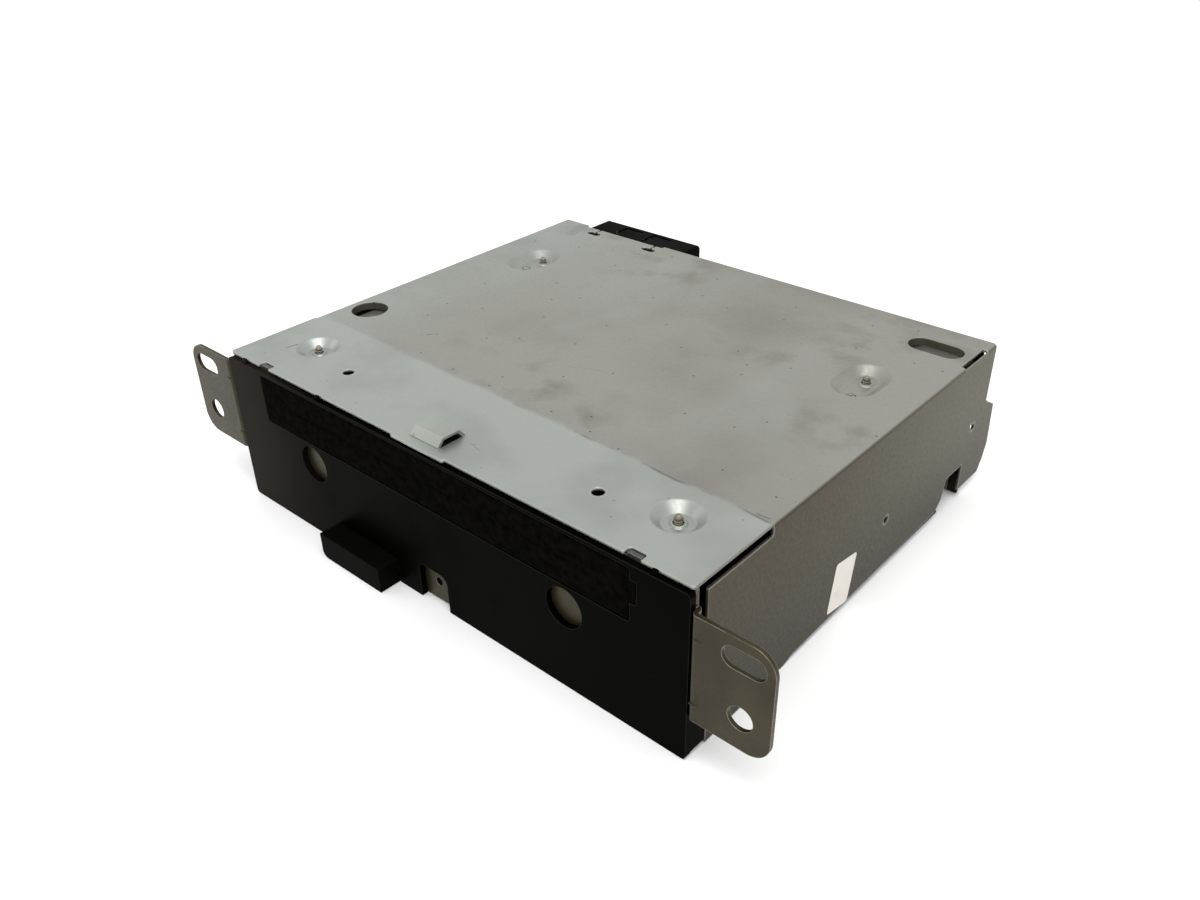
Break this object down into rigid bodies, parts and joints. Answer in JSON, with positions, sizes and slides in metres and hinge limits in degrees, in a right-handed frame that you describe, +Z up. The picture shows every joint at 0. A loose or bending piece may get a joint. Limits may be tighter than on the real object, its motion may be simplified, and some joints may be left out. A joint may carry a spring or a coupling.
{
  "type": "car cd player",
  "caption": "Slot-loading car disc player: steel case with screw ears and a black front panel, with its loading, clamping and playing mechanism inside.",
  "frame": {"origin": "centre of the bounding box's base", "axes": "+X to the right seen from the front, -Y towards the disc slot, +Z up"},
  "size_m": [0.2226, 0.1714, 0.0539],
  "materials": {
    "zinc_bright": "bright zinc plating, lightly soiled",
    "zinc_grey": "zinc plating",
    "zinc_khaki": "khaki passivated zinc",
    "plated_steel": "satin",
    "black_steel": "black oxide",
    "magnet": "satin",
    "black_gloss": "semi-gloss",
    "black_plastic": "matt",
    "white_plastic": "satin",
    "grey_plastic": "satin",
    "foam": "open-cell felted foam",
    "rubber": "matt",
    "brass": "satin",
    "board": "solder resist",
    "lens_glass": "polished"
  },
  "bodies": {
    "chassis": {"top_cover": "zinc_bright", "bottom_tray": "zinc_grey", "rear_panel": "zinc_grey", "front_plate": "zinc_khaki", "front_fascia": "black_gloss", "dust_seal": "foam", "front_connector": "black_gloss", "front_connector_pins": "brass", "rear_connector": "black_gloss", "rear_connector_pins": "brass", "side_label": "white_plastic", "hanger_screws": "plated_steel", "rear_screws": "plated_steel", "main_board": "board", "board_screws": "plated_steel", "board_chips": "black_plastic", "board_capacitors": "grey_plastic", "ribbon_sockets": "white_plastic", "ribbon_cable": "white_plastic", "servo_board": "board", "mech_frame": "zinc_grey", "frame_pins": "plated_steel", "disc_guide": "grey_plastic", "guide_screws": "black_steel", "loading_motor": "plated_steel", "motor_brackets": "zinc_grey", "mode_motor": "plated_steel"},
    "deck": {"deck_chassis": "plated_steel", "dampers": "rubber", "suspension_springs": "plated_steel", "spindle_motor": "plated_steel", "clamp_hinge_pins": "plated_steel", "clamp_spring": "plated_steel", "guide_shafts": "plated_steel", "feed_motor": "plated_steel"},
    "spindle": {"spindle_shaft": "plated_steel", "turntable": "black_plastic"},
    "clamp_lever": {"clamp_arm": "plated_steel"},
    "clamp_disc": {"clamper": "black_plastic", "clamper_magnet": "magnet"},
    "sled": {"pickup_sled": "black_plastic", "objective_lens": "lens_glass"},
    "feed_screw": {"lead_screw": "plated_steel"},
    "roller_lever": {"roller_arm": "plated_steel", "roller_bushes": "white_plastic", "loading_belt": "rubber"},
    "roller": {"roller_shaft": "plated_steel", "loading_roller": "rubber", "roller_pulley": "white_plastic"},
    "transfer": {"transfer_gear": "white_plastic"},
    "idler": {"idler_gear": "white_plastic"},
    "load_pinion": {"loading_pinion": "brass"},
    "mode_plate": {"mode_slider": "plated_steel"},
    "lock_plate": {"lock_slider": "plated_steel"},
    "link": {"link_lever": "plated_steel"},
    "mode_wheel": {"mode_gear": "white_plastic"},
    "mode_pinion_wheel": {"mode_pinion": "brass"},
    "left_lever": {"left_disc_lever": "white_plastic"},
    "right_lever": {"right_disc_lever": "white_plastic"}
  },
  "joints": [
    {"name": "deck_float", "type": "slide", "parent": "chassis", "child": "deck", "axis": [0, 0, 1], "range_m": [-0.0008, 0.0008], "stiffness_N_per_m": 3000, "springref_m": 0.0004, "deforming": ["dampers", "suspension_springs"]},
    {"name": "mode_slide", "type": "slide", "parent": "chassis", "child": "mode_plate", "axis": [0, 1, 0], "range_m": [0, 0.008]},
    {"name": "mode_gear_spin", "type": "hinge", "parent": "chassis", "child": "mode_wheel", "pos_m": [-0.065, 0.0047, 0.024], "axis": [1, 0, 0], "range_deg": [-92, 0]},
    {"name": "mode_pinion_spin", "type": "hinge", "parent": "chassis", "child": "mode_pinion_wheel", "pos_m": [-0.067, 0.0152, 0.024], "axis": [1, 0, 0], "range_deg": [0, 230]},
    {"name": "lock_slide", "type": "slide", "parent": "chassis", "child": "lock_plate", "axis": [0, -1, 0], "range_m": [0, 0.008]},
    {"name": "link_swing", "type": "hinge", "parent": "chassis", "child": "link", "pos_m": [0, 0.0347, 0.0206], "axis": [0, 0, 1], "range_deg": [-7.2, 0]},
    {"name": "roller_arm_drop", "type": "hinge", "parent": "chassis", "child": "roller_lever", "pos_m": [0, -0.0433, 0.03585], "axis": [1, 0, 0], "range_deg": [0, 9.3]},
    {"name": "clamp_arm_drop", "type": "hinge", "parent": "deck", "child": "clamp_lever", "pos_m": [0, 0.0487, 0.0449], "axis": [1, 0, 0], "range_deg": [0, 6.6]},
    {"name": "roller_spin", "type": "hinge", "parent": "roller_lever", "child": "roller", "pos_m": [0, -0.0613, 0.0373], "axis": [1, 0, 0], "continuous": true},
    {"name": "transfer_gear_spin", "type": "hinge", "parent": "chassis", "child": "transfer", "pos_m": [0.07, -0.0433, 0.03585], "axis": [1, 0, 0], "continuous": true},
    {"name": "idler_gear_spin", "type": "hinge", "parent": "chassis", "child": "idler", "pos_m": [0.07, -0.0323, 0.03585], "axis": [1, 0, 0], "continuous": true},
    {"name": "loading_pinion_spin", "type": "hinge", "parent": "chassis", "child": "load_pinion", "pos_m": [0.069, -0.0203, 0.03585], "axis": [1, 0, 0], "continuous": true},
    {"name": "turntable_spin", "type": "hinge", "parent": "deck", "child": "spindle", "pos_m": [0, -0.0073, 0.036], "axis": [0, 0, 1], "continuous": true},
    {"name": "clamper_spin", "type": "hinge", "parent": "clamp_lever", "child": "clamp_disc", "pos_m": [0, -0.00755, 0.04583], "axis": [0, 0.1125, 0.9937], "continuous": true},
    {"name": "sled_slide", "type": "slide", "parent": "deck", "child": "sled", "axis": [0, 1, 0], "range_m": [0, 0.033]},
    {"name": "lead_screw_spin", "type": "hinge", "parent": "deck", "child": "feed_screw", "pos_m": [-0.0244, 0.0227, 0.0288], "axis": [0, -1, 0], "range_deg": [0, 3961]},
    {"name": "left_lever_swing", "type": "hinge", "parent": "chassis", "child": "left_lever", "pos_m": [-0.0575, -0.0493, 0.0456], "axis": [0, 0, -1], "range_deg": [0, 19], "stiffness_Nm_per_rad": 0.005},
    {"name": "right_lever_swing", "type": "hinge", "parent": "chassis", "child": "right_lever", "pos_m": [0.0575, -0.0493, 0.0456], "axis": [0, 0, 1], "range_deg": [0, 19], "stiffness_Nm_per_rad": 0.005}
  ],
  "couplings": [
    {"joint": "mode_gear_spin", "follows": "mode_slide", "rad_per_m": -200},
    {"joint": "mode_pinion_spin", "follows": "mode_slide", "rad_per_m": 500},
    {"joint": "lock_slide", "follows": "mode_slide", "ratio": 1},
    {"joint": "link_swing", "follows": "mode_slide", "rad_per_m": -15.449},
    {"joint": "roller_arm_drop", "follows": "mode_slide", "rad_per_m": 20.096},
    {"joint": "clamp_arm_drop", "follows": "mode_slide", "rad_per_m": 14.092},
    {"joint": "transfer_gear_spin", "follows": "roller_spin", "ratio": 1},
    {"joint": "idler_gear_spin", "follows": "roller_spin", "ratio": -2.6667},
    {"joint": "loading_pinion_spin", "follows": "roller_spin", "ratio": 8},
    {"joint": "clamper_spin", "follows": "turntable_spin", "ratio": 1},
    {"joint": "lead_screw_spin", "follows": "sled_slide", "rad_per_m": 2094.4}
  ]
}
